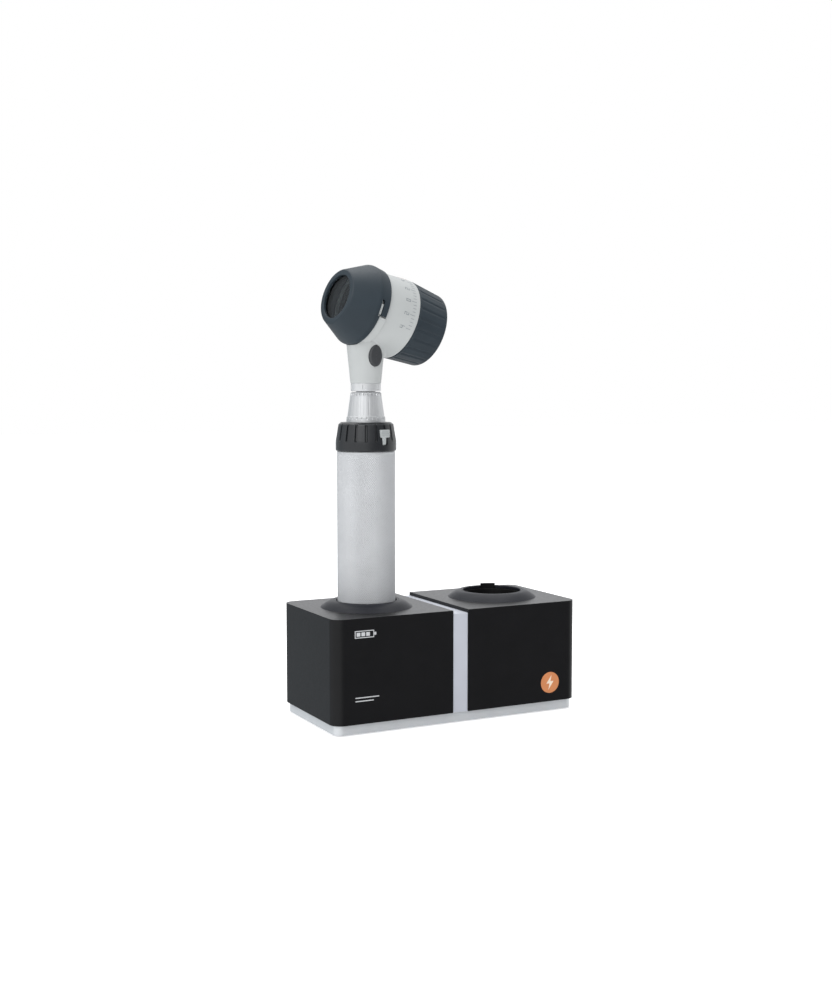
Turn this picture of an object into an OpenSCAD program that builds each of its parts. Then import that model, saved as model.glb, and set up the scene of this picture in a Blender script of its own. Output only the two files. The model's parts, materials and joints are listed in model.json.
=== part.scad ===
// Hand-held illuminated skin magnifier, standing in a two-well desk charger.
// Origin: the middle of the charger's footprint, on the surface it stands on.
// +Z is up, the charger's front faces -Y and the magnifier's contact end faces -X.

/* [Charger] */
// Width across both housings
charger_w = 141.3; // [140:0.1:146]
// Depth of the housings, front to back
charger_d = 66.6; // [64:0.1:72]
// Height of the black housings
housing_h = 52.9; // [50:0.1:58]
// Wall thickness of the housings
wall = 2.2; // [1.8:0.1:2.6]
// Thickness of the silver base plate
plate_t = 5.0; // [4.5:0.1:6]
// How far the base plate stands in from the housings
plate_inset = 1.5; // [1:0.1:2]
// How far the rubber feet stand out below the base plate
foot_h = 0.5; // [0.4:0.1:1.5]
// Radius of the charger's outer upright corners
corner_r = 6.0; // [5:0.1:7]
// Width of the silver strip between the housings
strip_w = 8.66; // [8:0.01:10]
// How far the strip's top lies below the housings' tops
strip_drop = 1.7; // [1:0.1:3]
// Distance of each well from the charger's middle
well_x = 37.5; // [37:0.1:39]
// Height of the wells' floor above the base plate
well_floor_h = 12.5; // [12:0.1:14]
// Height of the collars round the wells
collar_h = 3.6; // [3:0.1:5]
// Radius of a collar's foot
collar_r = 23.8; // [22:0.1:25]

/* [Handle] */
// Radius of the handle
handle_r = 15.0; // [14.5:0.1:15]
// Gap round the handle in a well
well_gap = 0.4; // [0.3:0.05:0.6]
// Length from the handle's foot to the control ring
grip_l = 120.9; // [118:0.1:130]
// Wall thickness of the knurled sleeve
sleeve_t = 1.4; // [1.2:0.1:1.6]
// Height of the control ring
ring_h = 14.6; // [14:0.1:16]
// Largest radius of the control ring
ring_r = 15.55; // [15.2:0.05:16]
// Number of grooves in the control ring
ring_grooves = 18; // [12:1:24]
// Height of the chrome connector above the control ring
cone_h = 15.3; // [14:0.1:17]
// Direction that the lock button faces, from +X towards +Y
lock_facing = -74.7; // [-100:0.1:-40]

/* [Head] */
// Height from the connector's top to the barrel's axis
axis_rise = 42.84; // [42:0.01:46]
// How far the contact end is tilted up
barrel_tilt = 16.4; // [0:0.1:20]
// How far the head is turned on the handle
head_turn = 7.9; // [-20:0.1:20]
// Radius of the barrel where it meets the focus ring
barrel_r = 20.9; // [20.5:0.1:21.5]
// Distance of the focus ring's front edge behind the handle's axis
barrel_back = 19.3; // [19:0.1:20]
// Length of the focus ring
focus_l = 19.4; // [18.5:0.1:20]
// Radius of the focus ring at its rear end
focus_r = 19.3; // [19:0.1:20]
// Distance of the contact end in front of the handle's axis
contact_reach = 18.15; // [18:0.05:19]
// Radius of the contact end's rim
contact_r = 14.1; // [13.8:0.1:15]
// Largest radius of the contact cone
cone_r = 21.0; // [20.8:0.1:21.5]
// Width and height of the oval push button
button_size = [7.3, 10.8]; // [6:0.1:12]
// Height of the push button above the neck's lower end
button_rise = 13.9; // [13:0.1:15]

/* [Hidden] */
$fn = 96;
eps = 0.01;
slip = 0.1;

// Charger heights and places
plate_top = foot_h + plate_t;
housing_top = plate_top + housing_h;
seat_z = plate_top + well_floor_h;
well_r = handle_r + well_gap;
liner_t = 1.0;
liner_r = well_r + liner_t;
mouth_r = well_r + 0.2;
spigot_r = liner_r + 0.1;
spigot_t = 1.1;
top_hole_r = spigot_r + spigot_t + slip;
lip_r = mouth_r + 1.1;
lip_t = 1.5;
collar_skirt = wall + 1.5;
liner_top = housing_top + collar_h - lip_t - 0.3;
carrier_t = 4;
carrier_top = seat_z - slip;
tab_w = 8;
tab_turn = 68;
tab_rise = 1.2;
boss_r = 3.6;
boss_h = 14;
boss_in = wall + 3.2;
screw_r = 1.45;
screw_hole_r = 1.55;
screw_head_r = 2.6;
screw_head_h = 1.8;
board_z = plate_top + 2.4;
board_t = 1.6;
board_top = board_z + board_t;
board_w = 104;
board_d = 30;
door_w = board_d + 2;
door_h = 7;
jack_x = -24;
jack_w = 9;
jack_h = 11;
jack_l = 13.8;
foot_r = 5;
foot_t = 1.5;
foot_place = [charger_w / 2 - 20.6, charger_d / 2 - 9.3];

// Spring-loaded charging pins in the wells' floors
charge_pin_r = 1.5;
charge_pin_tip = seat_z - 0.15;
pin_flange_r = 2.4;
pin_flange_top = carrier_top - carrier_t - slip;
pin_flange_t = 1.0;
pin_tail_r = 0.8;
ring_contact_in = 8.0;
ring_contact_out = 10.6;
ring_contact_t = 0.9;

// Handle heights and radii
sleeve_in = handle_r - sleeve_t;
foot_flange = 3;
sleeve_top = seat_z + grip_l;
insert_top = seat_z + 13;
cell_r = 10.9;
cell_bottom = insert_top + 9;
cell_l = 64;
holder_top = cell_bottom + cell_l + 8.5;
handle_board_z = holder_top + 1.5;
chassis_bottom = handle_board_z + 4;
ring_bottom = sleeve_top + slip;
ring_top = sleeve_top + ring_h;
ring_web_t = 2.6;
ring_cave_r = 13.0;
stem_r = 8.5;
stem_bottom = sleeve_top + 6.2;
chassis_neck_r = 10.8;
chassis_top = sleeve_top + 9.1;
cone_bottom = ring_top + slip;
cone_top = ring_top + cone_h + slip;
top_spigot_r = 5.0;
top_spigot_top = cone_top + 3.7;
top_pin_r = 1.2;
top_pin_tip = top_spigot_top + 1.0;
top_pin_flange = top_spigot_top - 7.8;

// Lock button: width and height of its head and of its stub
lock_head = [6.0, 4.0];
lock_stub = [2.6, 3.7];
lock_stub_shift = -0.7;
lock_stub_z = ring_bottom + 3.3;
lock_head_z = lock_stub_z + lock_stub[1] - eps;
lock_back = 11.9;
lock_face = 15.2;
lock_flange_t = 0.7;

// Head heights and radii, from the neck's metal collar up
collar_bottom = cone_top + 0.4;
neck_bottom = collar_bottom + 4;
barrel_z = cone_top + axis_rise;
neck_r = 7.84;
neck_top_r = 10.5;
neck_h = 27;
neck_bore_r = 5.6;
neck_spigot_r = 6.8;
button_z = neck_bottom + button_rise;
button_face = 10.3;

// Barrel: distances along its axis from the handle's axis, forward positive
barrel_in = 17.3;
barrel_front_r = 19.5;
shoulder = -1.3;
nose_r = 18.8;
nose_end = 5.5;
bulkhead_back = -2.6;
bulkhead_t = 1.6;
lens_tube_r = 10.5;
lens_tube_in = 9.6;
skirt_in = 19.1;
skirt_r = 20.5;
skirt_back = -1.2;
skirt_front_cut = 2.8;
slot_back = 2.2;
slot_front = 4.0;
hook_end = -17;
slot_mid = (slot_back + slot_front) / 2;
slot_w = slot_front - slot_back;
lug_w = slot_w - 0.3;
lug_arc = 15;
led_pcd = 28;
led_count = 6;
guide_r = 16.9;
guide_in = 15.05;
guide_back = -36;
cell_mid = -28.5;
cell_half = 3;
focus_travel = 2.2;
focus_back = -(barrel_back + focus_l);
focus_front = -(barrel_back + 0.15);
rib_count = 24;
rib_gap = 0.9;
rib_depth = 0.35;
cam_pin_r = 0.95;

// ---- Places ----

module at_well(side) { translate([side * well_x, 0, 0]) children(); }

module at_handle() { at_well(-1) children(); }

// Barrel frame: +Z forward along the barrel, +X towards the button's side, +Y up
module in_barrel() {
  at_handle() translate([0, 0, barrel_z])
    rotate([90 - barrel_tilt, 0, head_turn - 90]) children();
}

// Button frame: +Z out of the neck's side, +Y up
module in_button() {
  at_handle() translate([0, 0, button_z]) rotate([90, 0, head_turn]) children();
}

// Lock button frame: +X out of the control ring, +Z up
module in_lock() { at_handle() rotate([0, 0, lock_facing]) children(); }

// An outline in the lock button's frame, drawn with +Y up, from distance a to distance b
module in_lock_side(a, b) {
  in_lock() translate([a, 0, 0]) rotate([90, 0, 90]) linear_extrude(height = b - a) children();
}

// The lock button's outline, a broad head over a narrow stub, g larger all round
module lock_outline(g) {
  translate([-lock_head[0] / 2 - g, lock_head_z - g])
    square([lock_head[0] + 2 * g, lock_head[1] + 2 * g]);
  translate([lock_stub_shift - lock_stub[0] / 2 - g, lock_stub_z - g])
    square([lock_stub[0] + 2 * g, lock_stub[1] + g]);
}

// ---- Shapes ----

// A round bar from height a to height b
module bar(r, a, b) { translate([0, 0, a]) cylinder(h = b - a, r = r); }

// A straight tube from height a to height b
module tube(r_out, r_in, a, b) {
  difference() {
    bar(r_out, a, b);
    bar(r_in, a - 1, b + 1);
  }
}

// A tapered bar from height a to height b
module taper(r_a, r_b, a, b) { translate([0, 0, a]) cylinder(h = b - a, r1 = r_a, r2 = r_b); }

// Part of a tube between two angles
module arc_tube(r_out, r_in, a, b, from, to) {
  rotate([0, 0, from]) translate([0, 0, a]) rotate_extrude(angle = to - from)
    translate([r_in, 0]) square([r_out - r_in, b - a]);
}

// A flat plate with rounded upright corners, from height a to height b
module slab(w, d, r, a, b) {
  translate([0, 0, a]) linear_extrude(height = b - a) {
    square([w - 2 * r, d], center = true);
    square([w, d - 2 * r], center = true);
    for (x = [-1, 1], y = [-1, 1]) translate([x * (w / 2 - r), y * (d / 2 - r)]) circle(r);
  }
}

// An upright outline with round ends: w wide, l long
module stadium(w, l) {
  square([w, l - w], center = true);
  for (y = [-1, 1]) translate([0, y * (l - w) / 2]) circle(w / 2);
}

// A coil spring of round wire, upright, from height a to height b
module coil(mean_r, wire_r, a, b, turns) {
  steps = 12 * turns;
  sides = 6;
  rise = (b - a - 2 * wire_r) / steps;
  points = [for (i = [0:steps], k = [0:sides - 1])
    let (turn = 30 * i, s = 360 * k / sides, r = mean_r + wire_r * cos(s))
    [r * cos(turn), r * sin(turn), a + wire_r + rise * i + wire_r * sin(s)]];
  sides_of_ring = [for (i = [0:steps - 1], k = [0:sides - 1])
    let (n = (k + 1) % sides)
    [i * sides + k, (i + 1) * sides + k, (i + 1) * sides + n, i * sides + n]];
  start = [[for (k = [0:sides - 1]) k]];
  finish = [[for (k = [sides - 1:-1:0]) steps * sides + k]];
  polyhedron(points = points, faces = concat(sides_of_ring, start, finish), convexity = 6);
}

// A lens with two domed faces of one radius, centred on the height z
module biconvex(r, dome_r, mid_t, z) {
  intersection() {
    bar(r, z - mid_t, z + mid_t);
    translate([0, 0, z + dome_r - mid_t / 2]) sphere(dome_r);
    translate([0, 0, z - dome_r + mid_t / 2]) sphere(dome_r);
  }
}

// ---- Charger ----

// The four boss places in one housing
module at_bosses(side) {
  outer = charger_w / 2 - boss_in;
  inner = strip_w / 2 + boss_in;
  for (x = [inner, outer], y = [-1, 1])
    translate([side * x, y * (charger_d / 2 - boss_in), 0]) children();
}

module base_plate() color([0.80, 0.81, 0.82]) {
  difference() {
    slab(charger_w - 2 * plate_inset, charger_d - 2 * plate_inset, corner_r - plate_inset,
         foot_h, plate_top);
    for (side = [-1, 1]) at_bosses(side) {
      bar(screw_hole_r, foot_h - 1, plate_top + 1);
      bar(screw_head_r + slip, foot_h - 1, foot_h + screw_head_h + slip);
    }
    for (x = [-1, 1], y = [-1, 1]) translate([x * foot_place[0], y * foot_place[1], 0])
      bar(foot_r + slip, foot_h - 1, foot_t + eps);
  }
  for (x = [-1, 1], y = [-1, 1]) translate([x * board_w * 0.36, y * board_d * 0.4, 0])
    bar(2.5, plate_top - 1, board_z);
}

module rubber_feet() color([0.09, 0.09, 0.10])
  for (x = [-1, 1], y = [-1, 1]) translate([x * foot_place[0], y * foot_place[1], 0])
    bar(foot_r, 0, foot_t);

module base_screws() color([0.60, 0.60, 0.62])
  for (side = [-1, 1]) at_bosses(side) difference() {
    union() {
      bar(screw_head_r, foot_h + 0.2, foot_h + screw_head_h);
      bar(screw_r, foot_h + screw_head_h - 0.5, plate_top + 9);
    }
    for (turn = [0, 90]) rotate([0, 0, turn]) translate([-1.6, -0.3, foot_h])
      cube([3.2, 0.6, 1.0]);
  }

// A housing's outline, inset by t; its two corners at the charger's end are round
module housing_outline(side, t) {
  outer = charger_w / 2 - t;
  inner = strip_w / 2 + t;
  r = corner_r - t;
  y = charger_d / 2 - t;
  scale_x = side < 0 ? 1 : 0;
  mirror([scale_x, 0]) {
    translate([inner, -y]) square([outer - r - inner, 2 * y]);
    translate([inner, -y + r]) square([outer - inner, 2 * (y - r)]);
    for (s = [-1, 1]) translate([outer - r, s * (y - r)]) circle(r);
  }
}

module housing(side) {
  color([0.07, 0.07, 0.08]) difference() {
    union() {
      difference() {
        translate([0, 0, plate_top]) linear_extrude(height = housing_h)
          housing_outline(side, 0);
        translate([0, 0, plate_top - 1]) linear_extrude(height = housing_h - wall + 1)
          housing_outline(side, wall);
      }
      intersection() {
        at_bosses(side) bar(boss_r, plate_top, plate_top + boss_h);
        translate([0, 0, plate_top]) linear_extrude(height = boss_h)
          housing_outline(side, wall / 2);
      }
    }
    at_bosses(side) bar(screw_hole_r, plate_top - 1, plate_top + boss_h - 2);
    at_well(side) bar(top_hole_r, housing_top - wall - 1, housing_top + 1);
    translate([-strip_w, -door_w / 2, plate_top - 1]) cube([2 * strip_w, door_w, door_h + 1]);
    if (side < 0) translate([jack_x - jack_w / 2 - slip, charger_d / 2 - wall - 1, board_top])
      cube([jack_w + 2 * slip, wall + 2, jack_h + slip]);
  }
}

module left_housing() { housing(-1); }
module right_housing() { housing(1); }

module centre_strip() color([0.77, 0.78, 0.82]) {
  depth = charger_d - 0.8;
  top = housing_top - strip_drop;
  difference() {
    translate([-strip_w / 2, -depth / 2, plate_top]) cube([strip_w, depth, top - plate_top]);
    translate([-strip_w / 2 + wall, -depth / 2 + wall, plate_top - 1])
      cube([strip_w - 2 * wall, depth - 2 * wall, top - plate_top + 1 - wall]);
    translate([-strip_w, -door_w / 2, plate_top - 1]) cube([2 * strip_w, door_w, door_h + 1]);
  }
}

// The tongue by which a well's liner is pulled out, g larger all round
module tab_space(g) {
  rotate([0, 0, tab_turn]) translate([well_r - 1, -tab_w / 2 - g, liner_top - 1])
    cube([liner_t + 1 + g, tab_w + 2 * g, 1 + lip_t + 0.3 + tab_rise + g]);
}

module collar(side) {
  dome = [for (u = [0:0.125:1])
    [collar_r - (collar_r - lip_r) * u, housing_top + collar_h * sin(90 * u)]];
  under = housing_top + collar_h - lip_t;
  color([0.22, 0.23, 0.28]) at_well(side) difference() {
    rotate_extrude() polygon(concat(dome, [
      [mouth_r + 0.4, housing_top + collar_h],
      [mouth_r, housing_top + collar_h - 0.4],
      [mouth_r, under],
      [spigot_r, under],
      [spigot_r, housing_top - collar_skirt],
      [spigot_r + spigot_t, housing_top - collar_skirt],
      [spigot_r + spigot_t, housing_top]
    ]));
    intersection() {
      tab_space(0.2);
      bar(liner_r + 0.2, liner_top - 1, housing_top + collar_h + 1);
    }
  }
}

module left_collar() { collar(-1); }
module right_collar() { collar(1); }

module well_liner(side) {
  color([0.06, 0.06, 0.07]) at_well(side) {
    tube(liner_r, well_r, carrier_top, liner_top);
    intersection() {
      tab_space(0);
      tube(liner_r, mouth_r, liner_top - 2, liner_top + lip_t + 0.3 + tab_rise);
    }
  }
}

module left_well_liner() { well_liner(-1); }
module right_well_liner() { well_liner(1); }

module contact_carrier(side) {
  color([0.10, 0.10, 0.11]) at_well(side) difference() {
    bar(liner_r, carrier_top - carrier_t, carrier_top);
    bar(charge_pin_r + slip, carrier_top - carrier_t - 1, carrier_top + 1);
    tube(ring_contact_out, ring_contact_in, carrier_top - ring_contact_t, carrier_top + 1);
  }
}

module left_contact_carrier() { contact_carrier(-1); }
module right_contact_carrier() { contact_carrier(1); }

module ring_contacts() color([0.85, 0.68, 0.32])
  for (side = [-1, 1]) at_well(side)
    tube(ring_contact_out, ring_contact_in, carrier_top - ring_contact_t, carrier_top);

module charger_board() color([0.05, 0.30, 0.16]) difference() {
  union() {
    translate([-board_w / 2, -board_d / 2, board_z]) cube([board_w, board_d, board_t]);
    translate([jack_x - 6, board_d / 2 - 1, board_z]) cube([12, 12, board_t]);
  }
  for (side = [-1, 1]) at_well(side) bar(pin_tail_r + 0.2, board_z - 1, board_top + 1);
}

module board_parts() color([0.12, 0.12, 0.13]) {
  for (x = [-14, 14]) translate([x - 4, -4, board_top]) cube([8, 8, 1.4]);
  for (x = [-17, 17], y = [-9, 9]) translate([x, y, 0]) bar(2.2, board_top, board_top + 2.2);
  for (x = [-6:4:6]) translate([x - 0.8, 11, board_top]) cube([1.6, 0.9, 0.7]);
}

module power_inlet() color([0.08, 0.08, 0.09])
  translate([jack_x, charger_d / 2 - 0.1, board_top + jack_h / 2]) rotate([90, 0, 0]) {
    difference() {
      translate([-jack_w / 2, -jack_h / 2, 0]) cube([jack_w, jack_h, jack_l]);
      bar(2.75, -1, jack_l - 3);
    }
    bar(1.0, 1.5, jack_l - 2);
  }

module charge_pin(side) {
  color([0.88, 0.72, 0.36]) at_well(side) {
    bar(charge_pin_r, pin_flange_top - eps, charge_pin_tip);
    bar(pin_flange_r, pin_flange_top - pin_flange_t, pin_flange_top);
    bar(pin_tail_r, board_z + 0.5, pin_flange_top - pin_flange_t + eps);
  }
}

module left_charge_pin() { charge_pin(-1); }
module right_charge_pin() { charge_pin(1); }

module pin_spring(side) {
  color([0.75, 0.75, 0.77]) at_well(side)
    coil(1.7, 0.22, board_top, pin_flange_top - pin_flange_t, 4);
}

module left_pin_spring() { pin_spring(-1); }
module right_pin_spring() { pin_spring(1); }

// ---- Handle ----

module handle_sleeve() color([0.78, 0.79, 0.80]) at_handle() rotate_extrude()
  polygon([
    [sleeve_in, seat_z + foot_flange], [handle_r - 0.3, seat_z + foot_flange],
    [handle_r, seat_z + foot_flange + 0.3], [handle_r, sleeve_top - 0.3],
    [handle_r - 0.3, sleeve_top], [sleeve_in, sleeve_top]
  ]);

module handle_foot() color([0.08, 0.08, 0.09]) at_handle() difference() {
  union() {
    taper(handle_r - 1, handle_r - 0.3, seat_z, seat_z + 0.7);
    bar(handle_r - 0.3, seat_z + 0.7, seat_z + foot_flange);
    bar(sleeve_in - slip, seat_z + foot_flange - eps, insert_top);
  }
  bar(3.05, seat_z - 1, insert_top + 1);
  tube(ring_contact_out + 0.05, ring_contact_in - 0.05, seat_z - 1, seat_z + 1);
  tube(sleeve_in + 1, sleeve_in - 1.1, seat_z + 6, seat_z + 7.4);
}

module foot_contacts() color([0.88, 0.72, 0.36]) at_handle() {
  bar(3.0, seat_z + 0.05, insert_top + 0.5);
  tube(ring_contact_out, ring_contact_in, seat_z + 0.05, seat_z + 1);
}

module foot_seal() color([0.10, 0.10, 0.10]) at_handle() translate([0, 0, seat_z + 6.7])
  rotate_extrude() translate([sleeve_in - 0.55, 0]) circle(r = 0.5, $fn = 32);

module battery_spring() color([0.80, 0.80, 0.82]) at_handle()
  coil(4.2, 0.45, insert_top + 0.5, cell_bottom, 4);

module battery_cell() color([0.20, 0.42, 0.66]) at_handle() {
  bar(cell_r, cell_bottom, cell_bottom + cell_l);
  bar(3, cell_bottom + cell_l - eps, cell_bottom + cell_l + 1.5);
}

module battery_holder() color([0.15, 0.15, 0.16]) at_handle() {
  tube(sleeve_in - 0.2, cell_r + 0.2, insert_top + 1, holder_top - 1.5);
  tube(sleeve_in - 0.2, 3.2, holder_top - 1.5 - eps, holder_top);
}

module handle_board() color([0.05, 0.30, 0.16]) at_handle() {
  bar(sleeve_in - 0.4, handle_board_z, handle_board_z + board_t);
  bar(2.5, holder_top - 6, handle_board_z + eps);
  for (turn = [0:90:270]) rotate([0, 0, turn])
    translate([5, -2, handle_board_z + board_t - eps]) cube([4, 4, 1.2]);
}

module chassis() color([0.16, 0.16, 0.17]) at_handle() {
  tube(sleeve_in - slip, sleeve_in - 2.1, chassis_bottom, sleeve_top - 0.4);
  tube(sleeve_in - slip, stem_r - 1, sleeve_top - 2.4, sleeve_top - 0.4 + eps);
  tube(chassis_neck_r, stem_r + 0.05, sleeve_top - 0.4, chassis_top);
}

module dimmer_track() color([0.72, 0.55, 0.25]) at_handle()
  tube(chassis_neck_r - 0.2, stem_r + 0.3, chassis_top, chassis_top + 0.8);

module connector() color([0.86, 0.87, 0.88]) at_handle() difference() {
  union() {
    bar(stem_r, stem_bottom - 6, cone_bottom + eps);
    taper(10.05, 9.75, cone_bottom, cone_bottom + 2.7);
    taper(9.7, 8.0, cone_bottom + 2.7 - eps, cone_top - 1.7);
    bar(7.7, cone_top - 1.7 - eps, cone_top - 0.5);
    taper(7.7, 7.2, cone_top - 0.5 - eps, cone_top);
    bar(top_spigot_r, cone_top - eps, top_spigot_top);
  }
  bar(6.5, stem_bottom - 7, top_spigot_top - 16.5);
  bar(3.55, top_spigot_top - 17, top_spigot_top - 5);
  bar(2.55, top_spigot_top - 6, top_spigot_top + 1);
}

module pin_insulator() color([0.90, 0.90, 0.88]) at_handle() difference() {
  union() {
    bar(3.5, top_spigot_top - 16.5, top_spigot_top - 5.05);
    bar(2.5, top_spigot_top - 5.1, top_spigot_top);
  }
  bar(2.45, top_spigot_top - 15, top_spigot_top - 6.6);
  bar(top_pin_r + slip, top_spigot_top - 7, top_spigot_top + 1);
}

module top_pin() color([0.88, 0.72, 0.36]) at_handle() {
  bar(top_pin_r, top_pin_flange - eps, top_pin_tip);
  bar(2.3, top_pin_flange - 1, top_pin_flange);
}

module top_pin_spring() color([0.75, 0.75, 0.77]) at_handle()
  coil(1.9, 0.25, top_spigot_top - 15, top_pin_flange - 1, 5);

module control_ring() color([0.10, 0.10, 0.11]) difference() {
  at_handle() difference() {
    rotate_extrude() polygon([
      [ring_cave_r, ring_bottom], [ring_r - 0.5, ring_bottom], [ring_r, ring_bottom + 0.6],
      [ring_r, ring_bottom + 5], [ring_r - 1.1, ring_top - 3.0],
      [ring_r - 1.5, ring_top - 1.1], [ring_r - 2.7, ring_top],
      [stem_r + slip, ring_top], [stem_r + slip, ring_top - ring_web_t],
      [ring_cave_r, ring_top - ring_web_t]
    ]);
    for (i = [0:ring_grooves - 1])
      rotate([0, 0, lock_facing + i * 360 / ring_grooves])
        translate([ring_r - 1.3, -0.6, i == 0 ? lock_head_z : ring_bottom + 4.3])
          cube([3, 1.2, ring_h]);
  }
  in_lock_side(lock_back - 1, ring_r + 1) lock_outline(0.15);
}

module dimmer_wiper() color([0.80, 0.62, 0.30]) at_handle() {
  web = ring_top - ring_web_t;
  tube(chassis_neck_r - 0.3, stem_r + 0.4, web - 0.8, web);
  for (turn = [0, 180]) rotate([0, 0, turn])
    translate([stem_r + 0.6, -0.6, chassis_top + 1.0]) cube([1.2, 1.2, web - chassis_top - 1.2]);
}

module lock_button() color([0.75, 0.76, 0.78]) {
  in_lock_side(lock_back, lock_face) lock_outline(0);
  in_lock_side(lock_back, lock_back + lock_flange_t)
    translate([-lock_head[0] / 2, lock_stub_z - 0.9])
      square([lock_head[0], lock_stub[1] + lock_head[1] + 1.4]);
}

module lock_spring() color([0.75, 0.75, 0.77]) in_lock()
  translate([0, 0, ring_bottom + 4.5]) linear_extrude(height = 2.4)
    polygon([[11.70, 0.3], [10.92, 2.0], [10.92, 1.7], [11.50, 0], [10.92, -1.7],
             [10.92, -2.0], [11.70, -0.3]]);

// ---- Head ----

module neck_collar() color([0.74, 0.75, 0.76]) at_handle() difference() {
  union() {
    bar(neck_r - 0.1, collar_bottom, neck_bottom);
    bar(neck_spigot_r, neck_bottom - eps, neck_bottom + 4);
  }
  bar(top_spigot_r + slip, collar_bottom - 1, neck_bottom + 5);
  for (turn = [-110, 10, 130]) rotate([0, 0, turn])
    translate([6.6, -0.6, collar_bottom - 1]) cube([3, 1.2, 2.4]);
}

module head_housing() color([0.88, 0.89, 0.89]) difference() {
  union() {
    in_barrel() {
      taper(barrel_r, barrel_front_r, -barrel_back, shoulder);
      bar(nose_r, shoulder - eps, nose_end);
      arc_tube(skirt_r - 0.3, nose_r - 1, shoulder - 0.5, skirt_front_cut - 0.3, -138, -19);
      arc_tube(skirt_r - 0.2, nose_r - 1, slot_back + 0.15, slot_back + 0.15 + lug_w,
               -lug_arc - 0.5, -0.5);
      arc_tube(skirt_r - 0.6, nose_r - 1, slot_back + 0.15, slot_back + 0.15 + lug_w,
               180 - lug_arc - 0.5, 179.5);
    }
    difference() {
      at_handle() translate([0, 0, neck_bottom])
        cylinder(h = neck_h, r1 = neck_r, r2 = neck_top_r);
      in_barrel() {
        arc_tube(cone_r + slip, nose_r, skirt_front_cut - 0.15, contact_reach, 225, 315);
        bar(cone_r + slip, nose_end - eps, contact_reach);
      }
    }
  }
  in_barrel() {
    bar(barrel_in, -barrel_back - 1, bulkhead_back);
    bar(lens_tube_r + 0.05, bulkhead_back - 1, bulkhead_back + bulkhead_t + 1);
    bar(barrel_in, bulkhead_back + bulkhead_t, nose_end + 1);
  }
  at_handle() {
    bar(neck_spigot_r + 0.1, neck_bottom - 1, neck_bottom + 4.2);
    bar(neck_bore_r, neck_bottom, neck_bottom + 24);
  }
  in_button() linear_extrude(height = 20) stadium(button_size[0] + 0.3, button_size[1] + 0.3);
}

module head_insulator() color([0.90, 0.90, 0.88]) at_handle()
  tube(neck_bore_r - 0.05, 2.05, neck_bottom + 4.4, neck_bottom + 7);

module head_contact() color([0.88, 0.72, 0.36]) at_handle()
  bar(2.0, top_pin_tip + 0.12, neck_bottom + 7.3);

module push_switch() color([0.12, 0.12, 0.13]) in_button() {
  translate([-3, -4, -2.5]) cube([6, 7, 3.1]);
  bar(1.0, 0.5, 1.5);
}

module push_button() color([0.20, 0.21, 0.22]) in_button() {
  translate([0, 0, 3.2]) linear_extrude(height = button_face - 3.2)
    stadium(button_size[0], button_size[1]);
  translate([0, 0, 2.2]) linear_extrude(height = 1.01) stadium(8.3, 12);
}

module led_board() color([0.92, 0.92, 0.90]) in_barrel()
  tube(barrel_in - 0.1, lens_tube_r + 0.2, bulkhead_back + bulkhead_t + 0.1, 0.7);

module leds() color([1.0, 0.93, 0.60]) in_barrel()
  for (i = [0:led_count - 1]) rotate([0, 0, (i + 0.5) * 360 / led_count])
    translate([led_pcd / 2, 0, 0]) {
      bar(1.8, 0.7, 1.3);
      bar(1.4, 1.3 - eps, 2.6);
    }

module polariser() color([0.25, 0.26, 0.28]) in_barrel()
  tube(barrel_in - 0.1, lens_tube_r + 0.2, 3.4, 4.2);

module lens_tube() color([0.10, 0.10, 0.11]) in_barrel() {
  tube(lens_tube_r, lens_tube_in, -12, nose_end - 0.5);
  tube(lens_tube_in + eps, lens_tube_in - 0.8, -12, -7.6);
}

module front_lens() color([0.75, 0.88, 0.92]) in_barrel()
  biconvex(lens_tube_in - 0.05, 24, 4.8, -5.0);

module focus_guide() color([0.14, 0.14, 0.15]) in_barrel() difference() {
  union() {
    tube(guide_r, guide_in, guide_back, -barrel_back + 0.3);
    tube(barrel_in - 0.05, guide_in, -barrel_back + 0.2, -barrel_back + 4);
  }
  for (turn = [60, 240]) rotate([0, 0, turn])
    translate([guide_in - 1, -cam_pin_r - slip, cell_mid - focus_travel - 1.2])
      cube([4, 2 * (cam_pin_r + slip), 2 * (focus_travel + 1.2)]);
}

module contact_cone() color([0.20, 0.22, 0.25]) in_barrel() difference() {
  rotate_extrude() polygon([
    [skirt_r, skirt_back], [cone_r - 0.2, 3.2], [cone_r, 4.4], [cone_r - 0.15, 5.3],
    [cone_r - 0.6, 6.3], [contact_r + 0.35, contact_reach - 0.9],
    [contact_r, contact_reach - 0.25], [contact_r - 0.5, contact_reach],
    [12.3, contact_reach], [11.4, contact_reach - 1.0], [11.4, contact_reach - 1.4],
    [12.4, contact_reach - 1.4], [12.4, contact_reach - 4.0], [13.2, contact_reach - 4.0],
    [18.4, 6.6], [skirt_in, 5.9], [skirt_in, skirt_back]
  ]);
  arc_tube(cone_r + 1, skirt_in - 1, skirt_back - 1, skirt_front_cut, 197, 360 + hook_end);
  arc_tube(cone_r + 1, skirt_in - 1, slot_back, slot_front, hook_end - 1, 0.8);
  arc_tube(skirt_r - 0.1, skirt_in - 0.8, slot_back - 0.2, slot_front - 0.05,
           hook_end - lug_arc - 6, hook_end - 0.5);
  rotate([0, 0, 0.8]) translate([skirt_in - 1, 0, slot_mid]) rotate([0, 90, 0])
    cylinder(h = 4, d = slot_w - 0.1);
  arc_tube(cone_r + 1, skirt_in - 1, slot_back, slot_front, 141, 180.8);
  arc_tube(cone_r + 1, skirt_in - 1, skirt_back - 1, slot_back + eps, 141, 160.5);
}

module contact_glass() color([0.80, 0.90, 0.93]) in_barrel()
  bar(12.35, contact_reach - 3.2, contact_reach - 1.4);

module glass_retainer() color([0.12, 0.12, 0.13]) in_barrel()
  tube(12.35, 11.3, contact_reach - 4.0, contact_reach - 3.2);

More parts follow.
